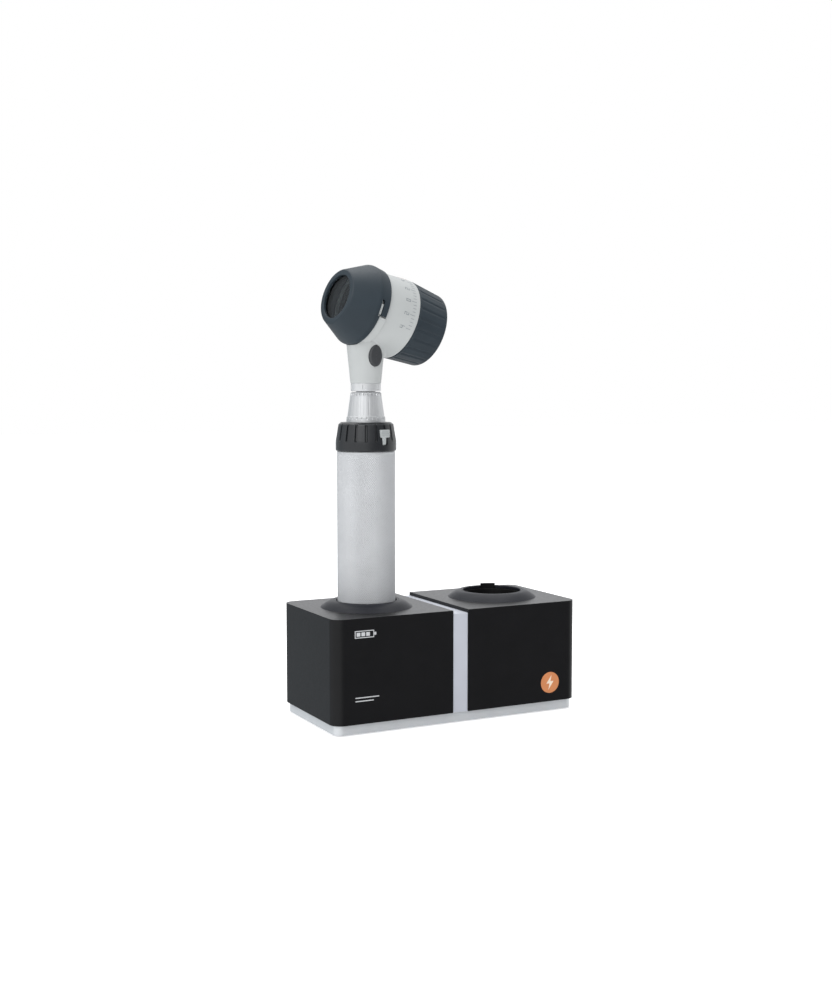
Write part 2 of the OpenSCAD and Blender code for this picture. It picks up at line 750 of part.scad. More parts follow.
module focus_ring() color([0.19, 0.21, 0.25]) in_barrel() {
  grip_start = focus_back + 3.2;
  grip_end = focus_front - 0.5;
  slope = atan((barrel_r - 0.1 - focus_r - 0.35) / (grip_end - grip_start));
  difference() {
    rotate_extrude() polygon([
      [guide_r + slip, focus_front], [barrel_r - 0.5, focus_front],
      [barrel_r - 0.1, grip_end], [focus_r + 0.35, grip_start],
      [focus_r, focus_back + 1.4], [focus_r - 0.4, focus_back + 0.6],
      [focus_r - 1.1, focus_back + 0.15], [focus_r - 2.0, focus_back],
      [12.6, focus_back], [12.6, focus_back + 0.6], [13.4, focus_back + 0.6],
      [13.4, guide_back - 0.2], [guide_r + slip, guide_back - 0.2]
    ]);
    tube(guide_r + 1.1, guide_r - 1, cell_mid - focus_travel - 1.4,
         cell_mid + focus_travel + 1.4);
    for (i = [0:rib_count - 1]) rotate([0, 0, i * 360 / rib_count])
      translate([focus_r + 0.35, 0, grip_start]) rotate([0, slope, 0])
        translate([-rib_depth, -rib_gap / 2, -3]) cube([2, rib_gap, grip_end - grip_start + 2]);
  }
}

module lens_cell() color([0.10, 0.10, 0.11]) in_barrel() difference() {
  tube(guide_in - slip, 12.5, cell_mid - cell_half, cell_mid + cell_half);
  for (turn = [60, 240]) rotate([0, 0, turn]) translate([12.9, 0, cell_mid])
    rotate([0, 90, 0]) cylinder(h = 4, r = cam_pin_r);
}

module rear_lens() color([0.75, 0.88, 0.92]) in_barrel()
  biconvex(12.45, 36, 5.4, cell_mid);

module cam_pins() color([0.80, 0.80, 0.82]) in_barrel()
  for (turn = [60, 240]) rotate([0, 0, turn]) translate([12.9, 0, cell_mid])
    rotate([0, 90, 0]) cylinder(h = 4.8, r = cam_pin_r);

module eye_window() color([0.80, 0.90, 0.93]) in_barrel()
  bar(13.35, focus_back + 0.65, guide_back - 0.7);

base_plate();
rubber_feet();
base_screws();
left_housing();
right_housing();
centre_strip();
left_collar();
right_collar();
left_well_liner();
right_well_liner();
left_contact_carrier();
right_contact_carrier();
ring_contacts();
charger_board();
board_parts();
power_inlet();
left_charge_pin();
right_charge_pin();
left_pin_spring();
right_pin_spring();
handle_sleeve();
handle_foot();
foot_contacts();
foot_seal();
battery_spring();
battery_cell();
battery_holder();
handle_board();
chassis();
dimmer_track();
connector();
pin_insulator();
top_pin();
top_pin_spring();
control_ring();
dimmer_wiper();
lock_button();
lock_spring();
neck_collar();
head_housing();
head_insulator();
head_contact();
push_switch();
push_button();
led_board();
leds();
polariser();
lens_tube();
front_lens();
focus_guide();
contact_cone();
contact_glass();
glass_retainer();
focus_ring();
lens_cell();
rear_lens();
cam_pins();
eye_window();
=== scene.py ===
"""Looks of the illuminated skin magnifier and its two-well desk charger, round the CAD frame."""

import json
import math

import bmesh
import bpy
import numpy as np
from mathutils import Matrix, Vector


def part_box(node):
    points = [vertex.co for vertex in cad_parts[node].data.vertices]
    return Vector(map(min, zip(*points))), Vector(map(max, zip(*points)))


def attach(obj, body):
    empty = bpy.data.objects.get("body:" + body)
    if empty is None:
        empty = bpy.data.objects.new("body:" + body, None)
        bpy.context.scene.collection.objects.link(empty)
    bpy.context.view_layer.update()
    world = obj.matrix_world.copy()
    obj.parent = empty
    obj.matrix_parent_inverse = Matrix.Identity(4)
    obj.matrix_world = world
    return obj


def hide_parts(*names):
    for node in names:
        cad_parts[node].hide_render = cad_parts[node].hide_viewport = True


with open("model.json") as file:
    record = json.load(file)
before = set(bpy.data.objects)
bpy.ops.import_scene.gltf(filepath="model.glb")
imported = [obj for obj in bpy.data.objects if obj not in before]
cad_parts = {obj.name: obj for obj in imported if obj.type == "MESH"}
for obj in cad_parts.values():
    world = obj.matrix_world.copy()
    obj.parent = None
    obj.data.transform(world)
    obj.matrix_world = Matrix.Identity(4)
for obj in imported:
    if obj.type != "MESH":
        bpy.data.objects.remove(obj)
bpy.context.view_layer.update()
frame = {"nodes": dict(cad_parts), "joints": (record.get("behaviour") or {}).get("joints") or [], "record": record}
nodes = frame["nodes"]
MM = 0.001


# ---- Places, in millimetres, from the frame ----


def low(node, axis=2):
    """Lowest coordinate of a CAD node, in millimetres."""
    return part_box(node)[0][axis] / MM


def high(node, axis=2):
    """Highest coordinate of a CAD node, in millimetres."""
    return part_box(node)[1][axis] / MM


def middle(node, axis):
    return (low(node, axis) + high(node, axis)) / 2


joints = {j["name"]: j for j in frame["joints"]}
HANDLE_X = middle("handle_sleeve", 0)
WELL_X = middle("right_collar", 0)
AXIS = Vector(joints["focus_turn"]["axis"]).normalized()
CENTRE = Vector(joints["focus_turn"]["pos_m"]) / MM
SIDE = Vector((-AXIS.y, AXIS.x, 0)).normalized()
UP = AXIS.cross(SIDE)
HEAD_TURN = math.atan2(SIDE.x, -SIDE.y)
LOCK_TURN = math.radians(-74.7)
BUTTON_Z = middle("push_button", 2)

AT_HANDLE = Matrix.Translation((HANDLE_X, 0, 0))
AT_RIGHT = Matrix.Translation((WELL_X, 0, 0))
IN_BARREL = Matrix.Translation(CENTRE) @ Matrix((SIDE, UP, AXIS)).transposed().to_4x4()
IN_BUTTON = (Matrix.Translation((HANDLE_X, 0, BUTTON_Z)) @ Matrix.Rotation(HEAD_TURN, 4, "Z")
             @ Matrix.Rotation(math.pi / 2, 4, "X"))
IN_LOCK = AT_HANDLE @ Matrix.Rotation(LOCK_TURN, 4, "Z")
TO_METRES = Matrix.Diagonal((MM, MM, MM, 1))


# ---- Materials ----


def node_material(name, colour, rough, metallic=0.0, specular=0.5, vary=0.06, vary_scale=90,
                  grain=0.02, grain_scale=2600, rough_vary=0.06):
    """A procedural surface: its colour and roughness wander, and a fine grain lies in the bump."""
    mat = bpy.data.materials.new(name)
    mat.use_nodes = True
    tree = mat.node_tree
    bsdf = tree.nodes["Principled BSDF"]
    new, link = tree.nodes.new, tree.links.new
    coords = new("ShaderNodeTexCoord").outputs["Object"]

    def noise(scale, detail):
        n = new("ShaderNodeTexNoise")
        n.inputs["Scale"].default_value = scale
        n.inputs["Detail"].default_value = detail
        link(coords, n.inputs["Vector"])
        return n.outputs["Fac"]

    wander = noise(vary_scale, 3)
    ramp = new("ShaderNodeValToRGB")
    ramp.color_ramp.elements[0].position = 0.32
    ramp.color_ramp.elements[1].position = 0.68
    ramp.color_ramp.elements[0].color = [c * (1 - vary) for c in colour] + [1]
    ramp.color_ramp.elements[1].color = [min(1, c * (1 + vary)) for c in colour] + [1]
    link(wander, ramp.inputs["Fac"])
    link(ramp.outputs["Color"], bsdf.inputs["Base Color"])

    fine = noise(grain_scale, 2)
    rough_range = new("ShaderNodeMapRange")
    rough_range.inputs["To Min"].default_value = max(0.02, rough - rough_vary)
    rough_range.inputs["To Max"].default_value = min(1, rough + rough_vary)
    link(noise(grain_scale * 0.25, 3), rough_range.inputs["Value"])
    link(rough_range.outputs["Result"], bsdf.inputs["Roughness"])

    bump = new("ShaderNodeBump")
    bump.inputs["Strength"].default_value = 1
    bump.inputs["Distance"].default_value = grain * MM
    link(fine, bump.inputs["Height"])
    link(bump.outputs["Normal"], bsdf.inputs["Normal"])
    bsdf.inputs["Metallic"].default_value = metallic
    bsdf.inputs["Specular IOR Level"].default_value = specular
    return mat


def glass_material(name, colour, rough=0.02):
    mat = node_material(name, colour, rough, grain=0.0005, vary=0.01, rough_vary=0.01)
    mat.node_tree.nodes["Principled BSDF"].inputs["Transmission Weight"].default_value = 1
    mat.node_tree.nodes["Principled BSDF"].inputs["IOR"].default_value = 1.3
    return mat


LOOKS = {
    "housing_black": node_material("housing_black", (0.006, 0.006, 0.0068), 0.36, specular=0.22,
                                   vary=0.08, grain=0.006, grain_scale=3200),
    "collar_slate": node_material("collar_slate", (0.010, 0.011, 0.016), 0.44, specular=0.2,
                                  grain=0.006),
    "inner_black": node_material("inner_black", (0.004, 0.004, 0.0045), 0.5, specular=0.2),
    "base_silver": node_material("base_silver", (0.62, 0.64, 0.66), 0.42, metallic=0.35,
                                 vary=0.03, grain=0.012, grain_scale=4200),
    "strip_silver": node_material("strip_silver", (0.50, 0.52, 0.575), 0.45, metallic=0.2,
                                  vary=0.02, grain=0.008, grain_scale=4200),
    "foot_rubber": node_material("foot_rubber", (0.02, 0.02, 0.021), 0.8, specular=0.2),
    "screw_steel": node_material("screw_steel", (0.55, 0.55, 0.56), 0.3, metallic=1),
    "contact_gold": node_material("contact_gold", (0.75, 0.50, 0.18), 0.25, metallic=1),
    "board_green": node_material("board_green", (0.01, 0.12, 0.05), 0.4),
    "part_black": node_material("part_black", (0.015, 0.015, 0.016), 0.5),
    "spring_steel": node_material("spring_steel", (0.60, 0.60, 0.62), 0.28, metallic=1),
    "sleeve_silver": node_material("sleeve_silver", (0.50, 0.51, 0.525), 0.46, metallic=0.35,
                                   vary=0.03, grain=0.002),
    "cell_wrap": node_material("cell_wrap", (0.04, 0.16, 0.40), 0.35),
    "chrome": node_material("chrome", (0.54, 0.55, 0.56), 0.40, metallic=0.55, vary=0.02,
                            grain=0.001),
    "ring_black": node_material("ring_black", (0.013, 0.0145, 0.017), 0.34, specular=0.5,
                                grain=0.008),
    "lock_grey": node_material("lock_grey", (0.36, 0.38, 0.385), 0.5, grain=0.01),
    "collar_steel": node_material("collar_steel", (0.58, 0.59, 0.60), 0.36, metallic=0.45,
                                  grain=0.004),
    "shell_white": node_material("shell_white", (0.405, 0.420, 0.419), 0.44, vary=0.02,
                                 specular=0.35, grain=0.006, grain_scale=3600),
    "button_dark": node_material("button_dark", (0.036, 0.038, 0.042), 0.42, grain=0.01),
    "white_plastic": node_material("white_plastic", (0.72, 0.72, 0.70), 0.5),
    "led_yellow": node_material("led_yellow", (0.85, 0.75, 0.35), 0.2),
    "filter_grey": node_material("filter_grey", (0.03, 0.03, 0.035), 0.12),
    "lens_glass": glass_material("lens_glass", (0.62, 0.66, 0.68)),
    "head_slate": node_material("head_slate", (0.022, 0.032, 0.041), 0.48, specular=0.24,
                                grain=0.010, grain_scale=3000),
}
PRINT_GREY = node_material("print_grey", (0.46, 0.47, 0.48), 0.5, grain=0.004)
PRINT_DARK = node_material("print_dark", (0.22, 0.24, 0.25), 0.5, grain=0.004)
PRINT_PALE = node_material("print_pale", (0.75, 0.62, 0.50), 0.5, grain=0.004)
ACCENT = node_material("accent_orange", (0.55, 0.20, 0.07), 0.45, grain=0.004)


# ---- Mesh helpers, in millimetres ----


def rounded(corners, closed=True, step=12.0):
    """Points of an outline whose corners are given as (x, y, radius)."""
    points, count = [], len(corners)
    for i, (x, y, radius) in enumerate(corners):
        p = np.array((x, y), float)
        if radius <= 0 or (not closed and i in (0, count - 1)):
            points.append(p)
            continue
        u = np.array(corners[i - 1][:2], float) - p
        v = np.array(corners[(i + 1) % count][:2], float) - p
        lu, lv = np.linalg.norm(u), np.linalg.norm(v)
        u, v = u / lu, v / lv
        half = math.acos(max(-1, min(1, u @ v))) / 2
        if half > math.radians(89.5):
            points.append(p)
            continue
        t = min(radius / math.tan(half), 0.49 * lu, 0.49 * lv)
        r = t * math.tan(half)
        c = p + (u + v) / np.linalg.norm(u + v) * r / math.sin(half)
        a = math.atan2(*(p + u * t - c)[::-1])
        turn = (math.atan2(*(p + v * t - c)[::-1]) - a + math.pi) % (2 * math.pi) - math.pi
        steps = max(1, math.ceil(abs(math.degrees(turn)) / step))
        bends = [a + turn * k / steps for k in range(steps + 1)]
        points += [c + r * np.array((math.cos(b), math.sin(b))) for b in bends]
    return points


def split(points, longest, closed=True):
    """The same outline with no side longer than that."""
    out, count = [], len(points)
    for i in range(count if closed else count - 1):
        a, b = np.array(points[i]), np.array(points[(i + 1) % count])
        steps = max(1, math.ceil(np.linalg.norm(b - a) / longest))
        out += [a + (b - a) * k / steps for k in range(steps)]
    return out if closed else out + [np.array(points[-1])]


def lathe(profile, columns=96, closed=True, relief=None, turn=(0, 360), angles=None):
    """The profile's (radius, height) points turned round Z. relief moves points in or out."""
    p = np.array(profile)
    whole = turn[1] - turn[0] >= 360
    if angles is None:
        angles = np.radians(np.linspace(*turn, columns, endpoint=not whole))
    columns, rows = len(angles), len(p)
    r = np.repeat(p[None, :, 0], columns, 0)
    z = np.repeat(p[None, :, 1], columns, 0)
    if relief is not None:
        r = r + relief(angles[:, None], r, z)
    a = angles[:, None]
    verts = np.stack([r * np.cos(a), r * np.sin(a), z], -1).reshape(-1, 3)
    faces = []
    for i in range(columns if whole else columns - 1):
        n = (i + 1) % columns
        for j in range(rows if closed else rows - 1):
            k = (j + 1) % rows
            faces.append((i * rows + j, n * rows + j, n * rows + k, i * rows + k))
    if not whole:
        last = (columns - 1) * rows
        faces += [tuple(range(rows)), tuple(last + j for j in reversed(range(rows)))]
    return verts, faces


def inset(outline, distance):
    """A closed outline moved inwards, counter-clockwise outlines only."""
    p = np.array(outline)
    before, after = p - np.roll(p, 1, 0), np.roll(p, -1, 0) - p
    before /= np.linalg.norm(before, axis=1)[:, None]
    after /= np.linalg.norm(after, axis=1)[:, None]
    n = np.stack([-before[:, 1] - after[:, 1], before[:, 0] + after[:, 0]], 1)
    n /= np.linalg.norm(n, axis=1)[:, None]
    lean = np.clip((n * np.stack([-before[:, 1], before[:, 0]], 1)).sum(1), 0.5, 1)
    return p + n * (distance / lean)[:, None]


def stack(outline, levels):
    """A solid from one outline at several (inset, height) levels, closed at both ends."""
    loops = [np.column_stack([inset(outline, d) if d else np.array(outline),
                              np.full(len(outline), z)]) for d, z in levels]
    n, verts, faces = len(outline), np.concatenate(loops), []
    for i in range(len(levels) - 1):
        for j in range(n):
            k = (j + 1) % n
            faces.append((i * n + j, i * n + k, (i + 1) * n + k, (i + 1) * n + j))
    faces += [tuple(reversed(range(n))), tuple((len(levels) - 1) * n + j for j in range(n))]
    return verts, faces


def block(x0, x1, y0, y1, z0, z1):
    """A cutter with square corners."""
    return stack([(x0, y0), (x1, y0), (x1, y1), (x0, y1)], [(0, z0), (0, z1)])


def working(shape, matrix=None):
    """A closed working object in millimetres."""
    verts, faces = shape
    mesh = bpy.data.meshes.new("work")
    mesh.from_pydata([tuple(v) for v in verts], [], faces)
    bm = bmesh.new()
    bm.from_mesh(mesh)
    bmesh.ops.remove_doubles(bm, verts=bm.verts, dist=1e-4)
    bmesh.ops.dissolve_degenerate(bm, dist=1e-5, edges=bm.edges)
    bmesh.ops.recalc_face_normals(bm, faces=bm.faces)
    bm.to_mesh(mesh)
    bm.free()
    if matrix is not None:
        mesh.transform(matrix)
    obj = bpy.data.objects.new("work", mesh)
    bpy.context.scene.collection.objects.link(obj)
    return obj


def bake(obj):
    """Applies an object's modifiers."""
    bpy.context.view_layer.update()
    graph = bpy.context.evaluated_depsgraph_get()
    done = bpy.data.meshes.new_from_object(obj.evaluated_get(graph))
    obj.modifiers.clear()
    old, obj.data = obj.data, done
    bpy.data.meshes.remove(old)
    return obj


def combine(obj, *others, operation="DIFFERENCE"):
    """Cuts each other object from obj, or joins it on, and removes it."""
    for other in others:
        mod = obj.modifiers.new("combine", "BOOLEAN")
        mod.operation, mod.solver, mod.object = operation, "EXACT", other
        bake(obj)
        bpy.data.objects.remove(other)
    return obj


def soften(obj, width, segments=2, angle=35):
    """Rounds the edges that are sharper than the angle."""
    mod = obj.modifiers.new("soften", "BEVEL")
    mod.width, mod.segments, mod.limit_method = width, segments, "ANGLE"
    mod.angle_limit = math.radians(angle)
    mod.use_clamp_overlap = True
    return bake(obj)


def from_cad(node):
    """A working copy of a CAD node, in millimetres, with its flat faces whole again."""
    mesh = nodes[node].data.copy()
    mesh.transform(Matrix.Diagonal((1 / MM, 1 / MM, 1 / MM, 1)))
    bm = bmesh.new()
    bm.from_mesh(mesh)
    bmesh.ops.remove_doubles(bm, verts=bm.verts, dist=1e-3)
    bmesh.ops.dissolve_limit(bm, angle_limit=math.radians(0.4), verts=bm.verts, edges=bm.edges)
    bm.to_mesh(mesh)
    bm.free()
    obj = bpy.data.objects.new("work", mesh)
    bpy.context.scene.collection.objects.link(obj)
    return obj


def finished(obj, name, body, look, matrix=None, replaces=(), smooth=True, sharp=40,
             weighted=False):
    """Turns a working object into a piece: in metres, in its place, with its material."""
    if matrix is not None:
        obj.data.transform(matrix)
    obj.data.transform(TO_METRES)
    obj.name = obj.data.name = name
    mesh = obj.data
    mesh.polygons.foreach_set("use_smooth", [smooth] * len(mesh.polygons))
    if smooth:
        mesh.set_sharp_from_angle(angle=math.radians(sharp))
    mesh.materials.clear()
    mesh.materials.append(LOOKS[look] if isinstance(look, str) else look)
    if weighted:
        mod = obj.modifiers.new("weighted", "WEIGHTED_NORMAL")
        mod.keep_sharp = True
    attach(obj, body)
    if replaces:
        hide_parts(*replaces)
    return obj


# ---- Charger ----

for node, look, width in (
        ("base_plate", "base_silver", 0.5), ("left_housing", "housing_black", 0.45),
        ("right_housing", "housing_black", 0.45), ("centre_strip", "strip_silver", 0.3),
        ("power_inlet", "inner_black", 0.2)):
    finished(soften(from_cad(node), width), node + "_shell", "charger", look, replaces=[node],
             weighted=True)

WELL_R = 15.4
LINER_R = WELL_R + 1
MOUTH_R = WELL_R + 0.2
housing_top = high("left_housing")
collar_top = high("left_collar")
collar_foot_r = (high("left_collar", 0) - low("left_collar", 0)) / 2
LIP_R, LIP_T = 16.7, 1.5
liner_top = high("left_housing") + 3.6 - LIP_T - 0.3
TAB_TURN = math.radians(68)
TAB_HALF = 4
TAB_RISE = 3.0


def tab_gap(grow):
    """The pull tab's space in a collar's lip."""
    reach = TAB_HALF + grow
    return working(block(WELL_R - 1, LINER_R + grow, -reach, reach, liner_top - 1,
                         liner_top + TAB_RISE + grow), Matrix.Rotation(TAB_TURN, 4, "Z"))


def collar(name, place):
    rise = collar_top - housing_top
    dome = [(collar_foot_r - (collar_foot_r - LIP_R) * u,
             housing_top + rise * math.sin(math.pi / 2 * u)) for u in np.linspace(0, 0.97, 20)]
    low_edge = low(name)
    section = dome + rounded([
        (LIP_R - 0.1, collar_top, 0.25), (MOUTH_R, collar_top, 0.55),
        (MOUTH_R, collar_top - LIP_T, 0), (WELL_R + 1.1, collar_top - LIP_T, 0),
        (WELL_R + 1.1, low_edge, 0.2), (WELL_R + 2.2, low_edge, 0.2),
        (WELL_R + 2.2, housing_top, 0)])
    obj = combine(working(lathe(section, 144)), tab_gap(0.2))
    finished(obj, name + "_dome", "charger", "collar_slate", place, [name], sharp=38)


ACROSS = Matrix.Rotation(math.pi / 2, 4, "Z") @ Matrix.Rotation(math.pi / 2, 4, "X")


def liner(name, place):
    """The well's sleeve, with its rounded pull tab."""
    tube = working(lathe(rounded([(WELL_R, low(name), 0), (LINER_R, low(name), 0),
                                  (LINER_R, liner_top, 0.3), (WELL_R, liner_top, 0.3)]), 128))
    top, root = liner_top + TAB_RISE, liner_top - 0.4
    half = math.degrees(TAB_HALF / (WELL_R + 0.5))
    tab = working(lathe(rounded([(MOUTH_R, root, 0), (LINER_R, root, 0), (LINER_R, top, 0.3),
                                 (MOUTH_R, top, 0.3)]),
                        24, turn=(math.degrees(TAB_TURN) - half, math.degrees(TAB_TURN) + half)))
    for side in (-1, 1):
        arc = [(side * 4.3, top + 1), (side * 0.5, top + 1)] + [
            (side * (0.5 + 3.6 * math.sin(a)), top - 1.9 * (1 - math.cos(a)))
            for a in np.linspace(0.05, math.pi / 2, 10)] + [(side * 4.3, top - 1.9)]
        verts, faces = stack(arc if side < 0 else arc[::-1], [(0, -20), (0, -10)])
        combine(tab, working((verts, faces), Matrix.Rotation(TAB_TURN, 4, "Z") @ ACROSS))
    finished(combine(tube, tab, operation="UNION"), name + "_sleeve", "charger", "inner_black",
             place, [name], sharp=38)


for side_name, place in (("left", AT_HANDLE), ("right", AT_RIGHT)):
    collar(side_name + "_collar", place)
    liner(side_name + "_well_liner", place)


# ---- Handle ----

HANDLE_R = 15.0
BAND_R = HANDLE_R - 0.12
KNURL_DEPTH = 0.2
KNURL_COLUMNS = 180
KNURL_HALF = 0.68
sleeve_low, sleeve_top = low("handle_sleeve"), high("handle_sleeve")


def knurled_sleeve():
    """The grip: plain bands at both ends and a cut diamond pattern of small pyramids between."""
    inner = HANDLE_R - 1.4
    start, end = sleeve_low + 1.2, sleeve_top - 1.4
    rows = 2 * round((end - start) / KNURL_HALF / 2)
    section = [(inner, sleeve_low), (HANDLE_R - 0.5, sleeve_low), (BAND_R, sleeve_low + 0.4),
               (BAND_R, start - 0.2)]
    first = len(section)
    section += [(HANDLE_R, start + (end - start) * i / rows) for i in range(rows + 1)]
    section += [(BAND_R, end + 0.2), (BAND_R, sleeve_top - 0.55),
                (HANDLE_R - 0.5, sleeve_top), (inner, sleeve_top)]
    p = np.array(section)
    count = len(section)
    a = np.radians(np.arange(KNURL_COLUMNS) * 360 / KNURL_COLUMNS)
    r = np.repeat(p[None, :, 0], KNURL_COLUMNS, 0)
    z = np.repeat(p[None, :, 1], KNURL_COLUMNS, 0)
    i, j = np.meshgrid(np.arange(KNURL_COLUMNS), np.arange(count), indexing="ij")
    knurled = (j >= first) & (j <= first + rows)
    lows = (i + j) % 2 == 1
    r = r - np.where(knurled & lows, KNURL_DEPTH, 0)
    verts = np.stack([r * np.cos(a)[:, None], r * np.sin(a)[:, None], z], -1).reshape(-1, 3)
    faces = []
    for i in range(KNURL_COLUMNS):
        n = (i + 1) % KNURL_COLUMNS
        for j in range(count):
            k = (j + 1) % count
            p00, p10, p11, p01 = i * count + j, n * count + j, n * count + k, i * count + k
            if first <= j < first + rows:
                if (i + j) % 2:
                    faces += [(p00, p10, p11), (p00, p11, p01)]
                else:
                    faces += [(p00, p10, p01), (p10, p11, p01)]
            else:
                faces.append((p00, p10, p11, p01))
    return verts, faces


finished(working(knurled_sleeve()), "grip_sleeve", "handle", "sleeve_silver", AT_HANDLE,
         ["handle_sleeve"], smooth=False)
finished(soften(from_cad("handle_foot"), 0.3), "grip_foot", "handle", "inner_black",
         replaces=["handle_foot"], weighted=True)

ring_low, ring_top = low("control_ring"), high("control_ring")
RING_R = 15.55
STEM_R = 8.6
GROOVES = 18
GROOVE_W = 1.3
groove_foot = ring_low + 4.9


def groove_angles(count, width_deg, inside, between):
    """Column angles that fall on the edges of evenly spaced grooves."""
    out = []
    for i in range(count):
        base = i * 360 / count
        out += list(base + np.linspace(-width_deg / 2, width_deg / 2, inside))
        out += list(base + np.linspace(width_deg / 2, 360 / count - width_deg / 2, between)[1:-1])
    return np.radians(out)


def ring_relief(a, r, z):
    """Upright grooves with round lower ends, open at the ring's shoulder."""
    pitch = 2 * math.pi / GROOVES
    off = ((a + pitch / 2) % pitch - pitch / 2) * RING_R
    reach = np.hypot(off, np.minimum(0, z - groove_foot - GROOVE_W / 2))
    depth = 1.0 * np.clip((GROOVE_W / 2 + 0.08 - reach) / 0.32, 0, 1) ** 0.7
    fade = np.clip((ring_top - 0.7 - z) / 1.2, 0, 1)
    return np.where(r > RING_R - 1.9, -depth * fade, 0)


ring_outer = split(rounded([
    (RING_R - 0.35, ring_low, 0.25), (RING_R, ring_low + 0.5, 0.4), (RING_R, ring_low + 4.6, 6),
    (RING_R - 1.15, ring_top - 3.0, 5), (RING_R - 1.5, ring_top - 1.0, 0.8),
    (RING_R - 2.7, ring_top, 0.5)], closed=False), 0.35, closed=False)
ring_section = ring_outer + rounded([
    (STEM_R, ring_top, 0.2), (STEM_R, ring_top - 2.6, 0), (13.0, ring_top - 2.6, 0),
    (13.0, ring_low, 0)])
groove_deg = math.degrees((GROOVE_W + 0.16) / RING_R)
ring = working(lathe(ring_section, relief=ring_relief,
                     angles=groove_angles(GROOVES, groove_deg, 11, 7)))


def tee(grow, wide=0.0, corner=0.45):
    """The lock button's outline: a broad head over a narrower stub, corners rounded."""
    w, g = 3.0 + grow, grow
    left, right = -2.0 - grow, 0.6 + grow + wide
    return rounded([(left, 3.3 - g, corner), (right, 3.3 - g, corner), (right, 7.0 - g, 0.2),
                    (w, 7.0 - g, corner), (w, 11.0 + g, corner), (-w, 11.0 + g, corner),
                    (-w, 7.0 - g, corner), (left, 7.0 - g, 0.2)], step=20)


OUTWARD = Matrix(((0, 0, 1, 0), (1, 0, 0, 0), (0, 1, 0, 0), (0, 0, 0, 1)))
RISE = Matrix.Translation((0, 0, ring_low))
combine(ring, working(stack(tee(0.14, wide=0.5), [(0, 10.5), (0, 18)]), RISE @ OUTWARD))
finished(ring, "dimmer_ring", "control_ring", "ring_black", IN_LOCK, ["control_ring"], sharp=42)
button = working(stack(tee(0), [(0, 11.9), (0, 14.9), (0.06, 15.08), (0.18, 15.18)]),
                 RISE @ OUTWARD)
combine(button, *[working(stack([(-2.4, z), (2.4, z), (2.4, z + 0.3), (-2.4, z + 0.3)],
                                [(0, 15.0), (0, 16)]), RISE @ OUTWARD) for z in (8.0, 8.9, 9.8)])
finished(button, "release_button", "lock_button", "lock_grey", IN_LOCK, ["lock_button"], sharp=50)

cone_low, cone_top = ring_top + 0.1, ring_top + 15.4
FLUTES = 24


def flute_relief(a, r, z):
    """Fine upright flutes in the tapered part, with small notches at its top and foot."""
    pitch = 2 * math.pi / FLUTES
    off = np.abs((a + pitch / 2) % pitch - pitch / 2) * r
    along = np.clip((z - cone_low - 2.9) / 0.5, 0, 1) * np.clip((cone_top - 2.2 - z) / 0.4, 0, 1)
    flute = 0.10 * np.clip(1 - off / 0.4, 0, 1) * along
    notch = np.where((off < 0.5) & (z > cone_top - 1.9) & (z < cone_top - 0.9), 0.45, 0)
    gap = (off > 0.35 * r * pitch) & (z > cone_low + 1.55) & (z < cone_low + 2.5)
    foot = np.where(gap, 0.3, 0)
    return np.where(r > 7, -np.maximum(np.maximum(flute, notch), foot), 0)


cone_outer = split(rounded([
    (10.05, cone_low, 0.2), (9.95, cone_low + 1.3, 0.3), (9.85, cone_low + 2.7, 0.5),
    (9.45, cone_low + 3.0, 0.2), (8.0, cone_top - 1.9, 0.2), (7.85, cone_top - 0.5, 0.3),
    (7.2, cone_top, 0.2), (5.0, cone_top, 0)], closed=False), 0.4, closed=False)
cone_section = cone_outer + rounded([
    (5.0, high("connector"), 0.4), (2.55, high("connector"), 0.2),
    (2.55, high("connector") - 6, 0), (3.55, high("connector") - 6, 0),
    (3.55, high("connector") - 16.5, 0), (6.5, high("connector") - 16.5, 0),
    (6.5, low("connector"), 0), (8.5, low("connector"), 0.3), (8.5, cone_low, 0)])
finished(working(lathe(cone_section, relief=flute_relief,
                       angles=groove_angles(FLUTES, 7.2, 7, 6))),
         "chrome_connector", "handle", "chrome", AT_HANDLE, ["connector"], sharp=45)


# ---- Head ----

neck_low = low("neck_collar") + 4
collar_low = low("neck_collar")


def collar_relief(a, r, z):
    """Three bayonet notches and three shallow key marks round the metal collar."""
    pitch = math.pi / 3
    off = np.abs((a + pitch / 2) % pitch - pitch / 2) * 7.74
    mark = np.where((off < 0.8) & (z > collar_low + 0.9) & (z < neck_low - 0.7), 0.3, 0)
    return np.where(r > 7.2, -mark, 0)


collar_outer = split(rounded([(7.5, collar_low, 0.15), (7.74, collar_low + 0.35, 0.15),
                              (7.74, neck_low - 0.1, 0.1), (7.6, neck_low, 0)], closed=False),
                     0.3, closed=False)
metal_collar = working(lathe(collar_outer + [
    (6.8, neck_low), (6.8, neck_low + 4), (5.1, neck_low + 4), (5.1, collar_low)],
    relief=collar_relief, angles=groove_angles(6, 12.2, 7, 14)))
finished(metal_collar, "bayonet_collar", "head", "collar_steel",
         AT_HANDLE @ Matrix.Rotation(math.radians(-62), 4, "Z"), ["neck_collar"], sharp=45)

BARREL_REAR_R, BARREL_FRONT_R = 20.9, 19.5
BARREL_BACK, SHOULDER = -19.3, -1.3
NOSE_R, NOSE_END, BORE_R = 18.8, 5.5, 17.3
SKIRT_R = 20.5
NECK_R, NECK_TOP_R, NECK_H = 7.84, 10.5, 27.0
TO_BARREL = IN_BARREL.inverted()


def barrel_radius(along):
    """Outer radius of the white barrel and of the segment in front of it."""
    if along > SHOULDER:
        return SKIRT_R - 0.3
    return BARREL_REAR_R + (BARREL_FRONT_R - BARREL_REAR_R) * (along - BARREL_BACK) / (
        SHOULDER - BARREL_BACK)


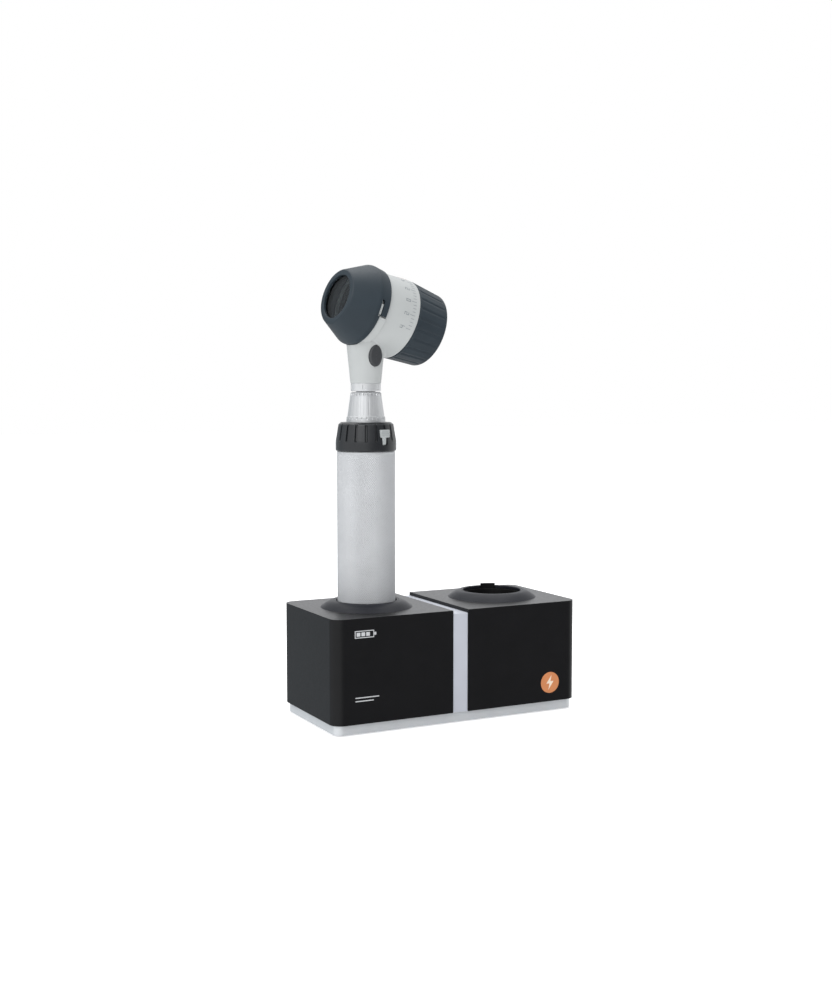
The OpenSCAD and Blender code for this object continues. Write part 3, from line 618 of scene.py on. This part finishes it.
def outside(point):
    """How far a point lies outside the barrel's surface, and its distance along the axis."""
    p = TO_BARREL @ Vector(point)
    return math.hypot(p.x, p.y) - barrel_radius(p.z), p.z


def onto_barrel(point, sunk):
    """The point moved straight to or from the barrel's axis, to lie that far under its surface."""
    p = TO_BARREL @ Vector(point)
    r = math.hypot(p.x, p.y)
    s = (barrel_radius(p.z) - sunk) / r
    return IN_BARREL @ Vector((p.x * s, p.y * s, p.z))


def neck_loft(columns=120, fillet=2.6):
    """The neck: a tapered column that runs into the barrel with a small fillet at the back."""
    def on_neck(angle, z):
        r = NECK_R + (NECK_TOP_R - NECK_R) * (z - neck_low) / NECK_H
        return Vector((HANDLE_X + r * math.cos(angle), r * math.sin(angle), z))

    rings = []
    for i in range(columns):
        angle = 2 * math.pi * i / columns
        z0, z1 = neck_low + 8, CENTRE.z
        for _ in range(40):
            mid = (z0 + z1) / 2
            if outside(on_neck(angle, mid))[0] > 0:
                z0 = mid
            else:
                z1 = mid
        meet, along = on_neck(angle, z0), outside(on_neck(angle, z0))[1]
        size = fillet * max(0.03, min(1, (SHOULDER - 1 - along) / 6))
        away = Vector((math.cos(angle), math.sin(angle), 0))
        start = on_neck(angle, z0 - size)
        end = onto_barrel(meet + away * size, 0)
        sink = onto_barrel(meet + away * (size + 0.3), 0.5)
        column = [on_neck(angle, neck_low) - away * 0.2, on_neck(angle, neck_low + 0.25)]
        column += [on_neck(angle, neck_low + (z0 - size - neck_low) * k / 6) for k in range(1, 6)]
        for k in range(9):
            t = k / 8
            column.append(start * (1 - t) ** 2 + meet * 2 * t * (1 - t) + end * t * t)
        column += [sink, onto_barrel(sink, 3.0)]
        rings.append(column)
    rows = len(rings[0])
    verts = [tuple(v) for column in rings for v in column]
    faces = []
    for i in range(columns):
        n = (i + 1) % columns
        faces += [(i * rows + j, n * rows + j, n * rows + j + 1, i * rows + j + 1)
                  for j in range(rows - 1)]
    faces += [tuple(i * rows for i in reversed(range(columns))),
              tuple(i * rows + rows - 1 for i in range(columns))]
    return verts, faces


def white_head():
    """Barrel, nose, lower segment, bayonet lugs and neck in one moulding."""
    barrel = working(lathe(rounded([
        (BORE_R, BARREL_BACK, 0.3), (BARREL_REAR_R - 0.15, BARREL_BACK, 0.35),
        (BARREL_REAR_R, BARREL_BACK + 0.9, 0.5), (BARREL_FRONT_R, SHOULDER, 0.4),
        (NOSE_R, SHOULDER, 0.1), (NOSE_R, NOSE_END, 0.4), (BORE_R, NOSE_END, 0.3),
        (BORE_R, -1.0, 0), (10.55, -1.0, 0.2), (10.55, -2.6, 0.2), (BORE_R, -2.6, 0)]), 160))
    skirt = working(lathe(rounded([
        (NOSE_R - 1, SHOULDER - 0.5, 0), (SKIRT_R - 0.3, SHOULDER - 0.5, 0.3),
        (SKIRT_R - 0.3, 2.5, 0.4), (NOSE_R - 1, 2.5, 0)]), 96, turn=(-138, -19)))
    lugs = [working(lathe(rounded([(NOSE_R - 1, 2.35, 0), (r, 2.35, 0.2), (r, 3.85, 0.2),
                                   (NOSE_R - 1, 3.85, 0)]), 14, turn=(a - 15.5, a - 0.5)))
            for r, a in ((20.3, 0), (19.9, 180))]
    combine(barrel, skirt, *lugs, operation="UNION")
    neck = working(neck_loft(), TO_BARREL)
    reach = [(0, 2.62), (21.15, 2.62), (21.15, 4.6), (20.6, 6.5), (14, 19), (0, 19)]
    combine(neck, working(lathe(reach, 120, closed=False)))
    combine(barrel, neck, operation="UNION")
    bores = [working(lathe([(0, z0), (r, z0), (r, z1), (0, z1)], 160, closed=False))
             for r, z0, z1 in ((BORE_R, BARREL_BACK - 1, -2.6), (10.55, -2.8, -0.8),
                               (BORE_R, -1.0, NOSE_END + 1))]
    combine(barrel, *bores)
    barrel.data.transform(IN_BARREL)
    spigot_top, bore_top = neck_low + 4.2, neck_low + 24
    bore = [(0, neck_low - 1), (6.9, neck_low - 1), (6.9, spigot_top), (5.6, spigot_top),
            (5.6, bore_top), (0, bore_top)]
    combine(barrel, working(lathe(bore, 64, closed=False), AT_HANDLE))
    pocket = working(stack(oval(3.8, 5.55), [(0, 0), (0, 20)]), IN_BUTTON)
    combine(barrel, pocket)
    return barrel


def oval(half_w, half_h, steps=48):
    """An upright ellipse's outline."""
    a = np.radians(np.arange(steps) * 360 / steps)
    return [(half_w * math.cos(t), half_h * math.sin(t)) for t in a]


finished(white_head(), "head_shell", "head", "shell_white", None, ["head_housing"], sharp=32)

button_out = 10.3
button_levels = [(0, 3.2)] + [(d, button_out - h) for d, h in (
    (0, 0.75), (0.12, 0.45), (0.35, 0.25), (0.8, 0.10), (1.6, 0.02), (2.6, 0))]
finished(working(stack(oval(3.65, 5.4), button_levels)), "oval_button", "push_button",
         "button_dark", IN_BUTTON, ["push_button"], sharp=40)

CONE_R, REACH = 21.0, 18.15
SLOT_BACK, SLOT_FRONT = 2.2, 4.0


def slot_cutter(from_deg, to_deg, back, front, round_end=False):
    """An arc-shaped cutter through the cone's skirt."""
    inner, outer = SKIRT_R - 2.5, CONE_R + 1
    cutter = working(lathe([(inner, back), (outer, back), (outer, front), (inner, front)],
                           48, turn=(from_deg, to_deg)))
    if round_end:
        half = (front - back) / 2
        end = working(lathe([(0, 0), (half * 0.99, 0), (half * 0.99, 5), (0, 5)], 24,
                            closed=False), Matrix.Rotation(math.radians(to_deg), 4, "Z")
                      @ Matrix.Translation((inner, 0, back + half))
                      @ Matrix.Rotation(math.pi / 2, 4, "Y"))
        combine(cutter, end, operation="UNION")
    return cutter


def slate_cone():
    """The contact cone with its bayonet slots, hook and sighting notch."""
    cone = working(lathe(rounded([
        (19.1, -1.2, 0.2), (20.5, -1.2, 0.35), (21.08, 5.0, 3.6), (14.35, REACH - 0.6, 1.2),
        (13.7, REACH, 0.6), (11.2, REACH, 0.5), (11.2, REACH - 1.4, 0),
        (12.4, REACH - 1.4, 0), (12.4, REACH - 4.0, 0), (13.2, REACH - 4.0, 0), (18.4, 6.6, 0.3),
        (19.1, 5.9, 0.2)], step=8), 168))
    combine(cone,
            slot_cutter(197, 343, -2.2, 2.8),
            slot_cutter(342, 363.5, SLOT_BACK, SLOT_FRONT, round_end=True),
            working(lathe([(17.5, SLOT_BACK), (20.4, SLOT_BACK), (20.4, SLOT_FRONT),
                           (17.5, SLOT_FRONT)], 24, turn=(322, 342.5))),
            slot_cutter(141, 180.8, SLOT_BACK, SLOT_FRONT, round_end=True),
            slot_cutter(141, 160.5, -2.2, 2.3))
    return soften(cone, 0.22, 2, 50)


finished(slate_cone(), "cone_shell", "contact_cone", "head_slate", IN_BARREL, ["contact_cone"],
         sharp=40)

FOCUS_BACK, FOCUS_FRONT = -38.7, -19.45
RIBS = 24
RIB_GAP = 1.5


def rib_relief(a, r, z):
    """Narrow lengthwise grooves between broad flats, fading out towards the eye end."""
    pitch = 2 * math.pi / RIBS
    off = np.abs((a + pitch / 2) % pitch - pitch / 2) * 20
    fade = (np.clip((z - FOCUS_BACK - 1.6) / 2.2, 0, 1)
            * np.clip((FOCUS_FRONT - 0.55 - z) / 0.3, 0, 1))
    groove = 0.30 * np.clip((RIB_GAP / 2 - off) / 0.55, 0, 1) + 0.10 * np.clip(
        (off - RIB_GAP / 2) / 2.0, 0, 1) ** 2
    return np.where(r > 18.5, -groove * fade, 0)


focus_outer = split(rounded([
    (12.6, FOCUS_BACK, 0.3), (19.25, FOCUS_BACK, 1.5), (19.6, FOCUS_BACK + 4.2, 6),
    (20.82, FOCUS_FRONT - 0.5, 0.35), (20.4, FOCUS_FRONT, 0.2),
    (17.0, FOCUS_FRONT, 0)], closed=False, step=6), 0.9, closed=False)
focus_section = focus_outer + [(17.0, -26.0), (18.0, -26.0), (18.0, -31.0), (17.0, -31.0),
                               (17.0, -36.2), (13.4, -36.2), (13.4, FOCUS_BACK + 0.6),
                               (12.6, FOCUS_BACK + 0.6)]
finished(working(lathe(focus_section, relief=rib_relief,
                       angles=groove_angles(RIBS, 4.3, 7, 6))),
         "focus_grip", "focus_ring", "head_slate", IN_BARREL, ["focus_ring"], sharp=38)


# ---- Generic marks ----

FRONT_Y = low("left_housing", 1)
ON_FRONT = Matrix(((1, 0, 0, 0), (0, 0, -1, FRONT_Y), (0, 1, 0, 0), (0, 0, 0, 1)))
PRINT_LEVELS = [(0, -0.05), (0, 0.03), (0.015, 0.04)]


def joined(shapes):
    """One mesh from several closed ones."""
    verts, faces = [], []
    for v, f in shapes:
        faces += [tuple(i + len(verts) for i in face) for face in f]
        verts += [tuple(p) for p in v]
    return verts, faces


def patch(x0, x1, z0, z1, radius=0.1):
    """A printed rectangle on the front face, with rounded corners."""
    return stack(rounded([(x0, z0, radius), (x1, z0, radius), (x1, z1, radius), (x0, z1, radius)],
                         step=30), PRINT_LEVELS)


battery = [patch(-59.5, -49.0, 48.6, 49.0), patch(-59.5, -49.0, 51.9, 52.3),
           patch(-59.5, -59.1, 49.0, 51.9), patch(-49.4, -49.0, 49.0, 51.9),
           patch(-48.9, -47.8, 49.7, 51.2, 0.3)]
battery += [patch(x, x + 2.0, 49.5, 51.4, 0.2) for x in (-58.5, -55.9, -53.3)]
finished(working(joined(battery), ON_FRONT), "battery_mark", "charger", PRINT_GREY, sharp=30)
lines = [patch(-59.3, -46.3, 18.6, 19.1, 0.2), patch(-59.3, -49.3, 16.9, 17.4, 0.2)]
finished(working(joined(lines), ON_FRONT), "plain_lines", "charger", PRINT_GREY, sharp=30)

BADGE_R = 5.6
BOLT = [(1.0, 4.0), (-2.3, -0.5), (-0.3, -0.5), (-1.0, -4.0), (2.3, 0.7), (0.3, 0.7)]
badge_place = ON_FRONT @ Matrix.Translation((53.9, 15.6, 0))
disc = [(BADGE_R * math.cos(t), BADGE_R * math.sin(t))
        for t in np.linspace(0, 2 * math.pi, 72)[:-1]]
badge = working(stack(disc, [(0, -0.05), (0, 0.05), (0.05, 0.08)]))
combine(badge, working(stack(BOLT, [(0, -1), (0, 1)])))
finished(badge, "badge_disc", "charger", ACCENT, badge_place, sharp=30)
finished(working(stack(BOLT, PRINT_LEVELS)), "badge_bolt", "charger", PRINT_PALE, badge_place,
         sharp=30)

DIGIT_W, DIGIT_H, STROKE = 1.5, 2.6, 0.34
STROKES = {"top": (0, DIGIT_W, DIGIT_H - STROKE, DIGIT_H), "middle": (0, DIGIT_W, 1.13, 1.47),
           "foot": (0, DIGIT_W, 0, STROKE), "upper left": (0, STROKE, 1.3, DIGIT_H),
           "upper right": (DIGIT_W - STROKE, DIGIT_W, 1.3, DIGIT_H),
           "lower left": (0, STROKE, 0, 1.3), "lower right": (DIGIT_W - STROKE, DIGIT_W, 0, 1.3)}
DIGITS = {0: ("top", "foot", "upper left", "upper right", "lower left", "lower right"),
          2: ("top", "upper right", "middle", "lower left", "foot"),
          4: ("upper left", "upper right", "middle", "lower right")}


def barrel_print(angle, x0, x1, along0, along1):
    """A printed rectangle on the white barrel; x runs round it from the angle, in millimetres."""
    r = barrel_radius((along0 + along1) / 2)
    turn = (angle + math.degrees(x0 / r), angle + math.degrees(x1 / r))
    r0, r1 = barrel_radius(along0), barrel_radius(along1)
    return lathe([(r0 - 0.05, along0), (r0 + 0.11, along0), (r1 + 0.11, along1),
                  (r1 - 0.05, along1)],
                 4, turn=turn)


SCALE_MIDDLE, SCALE_STEP, DIGIT_FOOT = 20, 5, -13.2
scale = []
for k in range(-8, 9):
    longer = 0.0 if k % 4 else 1.0
    scale.append(barrel_print(SCALE_MIDDLE + SCALE_STEP * k, -0.14, 0.14, -16.8, -15.0 + longer))
for k, digit in ((-8, 4), (-4, 2), (0, 0), (4, 2), (8, 4)):
    for stroke in DIGITS[digit]:
        x0, x1, y0, y1 = STROKES[stroke]
        scale.append(barrel_print(SCALE_MIDDLE + SCALE_STEP * k, x0 - DIGIT_W / 2,
                                  x1 - DIGIT_W / 2, DIGIT_FOOT + y0, DIGIT_FOOT + y1))
finished(working(joined(scale), IN_BARREL), "focus_scale", "head", PRINT_DARK, sharp=30)
finished(working(joined([barrel_print(80, -1.1, 1.1, -17.6, -13.0),
                         barrel_print(80, -0.5, 0.5, -13.0, -11.6)]), IN_BARREL),
         "index_line", "head", ACCENT, sharp=30)


# ---- Materials of the CAD nodes that stay ----

for subpart in frame["record"]["subparts"]:
    kept, slot_name = nodes[subpart["node"]], subpart["material_slot"]
    if not kept.hide_render:
        kept.data.materials.clear()
        kept.data.materials.append(LOOKS[slot_name])


# ---- Stage, light and camera ----

scene = bpy.context.scene
scene.view_settings.view_transform = "Standard"
scene.view_settings.look = "None"

floor_mesh = bpy.data.meshes.new("floor")
floor_mesh.from_pydata([(-4, -4, 0), (4, -4, 0), (4, 4, 0), (-4, 4, 0)], [], [(0, 1, 2, 3)])
floor = bpy.data.objects.new("floor", floor_mesh)
scene.collection.objects.link(floor)
floor_look = node_material("floor_white", (1.0, 1.0, 1.0), 0.9, specular=0, vary=0.0,
                           vary_scale=3, grain=0)
floor_shader = floor_look.node_tree.nodes["Principled BSDF"]
floor_shader.inputs["Emission Color"].default_value = (1, 1, 1, 1)
floor_shader.inputs["Emission Strength"].default_value = 0.22
floor_mesh.materials.append(floor_look)
floor.visible_glossy = False

world = bpy.data.worlds.new("studio")
scene.world = world
world.use_nodes = True
tree = world.node_tree
new, link = tree.nodes.new, tree.links.new
background = tree.nodes["Background"]
direction = new("ShaderNodeTexCoord").outputs["Generated"]


def lobe(towards, start, end):
    """1 in that direction, falling to 0 away from it, between two cosines."""
    dot = new("ShaderNodeVectorMath")
    dot.operation = "DOT_PRODUCT"
    dot.inputs[1].default_value = Vector(towards).normalized()
    link(direction, dot.inputs[0])
    span = new("ShaderNodeMapRange")
    span.interpolation_type = "SMOOTHSTEP"
    span.inputs["From Min"].default_value = start
    span.inputs["From Max"].default_value = end
    link(dot.outputs["Value"], span.inputs["Value"])
    return span.outputs["Result"]


def tint(factor, colour, under):
    mix = new("ShaderNodeMix")
    mix.data_type = "RGBA"
    link(factor, mix.inputs["Factor"])
    link(under, mix.inputs[6])
    mix.inputs[7].default_value = (*colour, 1)
    return mix.outputs[2]


base = new("ShaderNodeRGB")
base.outputs[0].default_value = (0.95, 0.96, 0.97, 1)
sky = tint(lobe((0.47, -0.88, -0.10), 0.62, 0.90), (0.22, 0.22, 0.23), base.outputs[0])
sky = tint(lobe((-0.45, 0.88, -0.05), 0.75, 0.95), (0.42, 0.46, 0.49), sky)
sky = tint(lobe((0.45, 0.88, 0.10), 0.93, 0.995), (1.5, 1.52, 1.56), sky)
seen = new("ShaderNodeLightPath").outputs["Is Camera Ray"]
sky = tint(seen, (1, 1, 1), sky)
link(sky, background.inputs["Color"])
background.inputs["Strength"].default_value = 1.0


def softbox(name, place, aim, size, watts, colour=(1, 1, 1)):
    light = bpy.data.lights.new(name, "AREA")
    light.shape, light.size, light.size_y = "RECTANGLE", size[0], size[1]
    light.energy, light.color = watts, colour
    obj = bpy.data.objects.new(name, light)
    obj.location = place
    obj.rotation_euler = (Vector(aim) - Vector(place)).to_track_quat("-Z", "Y").to_euler()
    scene.collection.objects.link(obj)
    return obj


softbox("key", (-0.9, -0.7, 1.0), (0, 0, 0.1), (0.9, 0.9), 7)
softbox("top", (0.1, 0.3, 1.3), (0, 0, 0.1), (1.2, 1.2), 9)

camera_data = bpy.data.cameras.new("camera")
camera_data.sensor_fit = "VERTICAL"
camera_data.sensor_width = camera_data.sensor_height = 36
camera_data.lens = 49.97
camera_data.clip_start, camera_data.clip_end = 0.01, 50
camera = bpy.data.objects.new("camera", camera_data)
camera.location = (-0.3403, -0.6445, 0.1738)
camera.rotation_euler = (math.radians(90 - 4.844), 0, math.radians(-27.23))
scene.collection.objects.link(camera)
scene.camera = camera
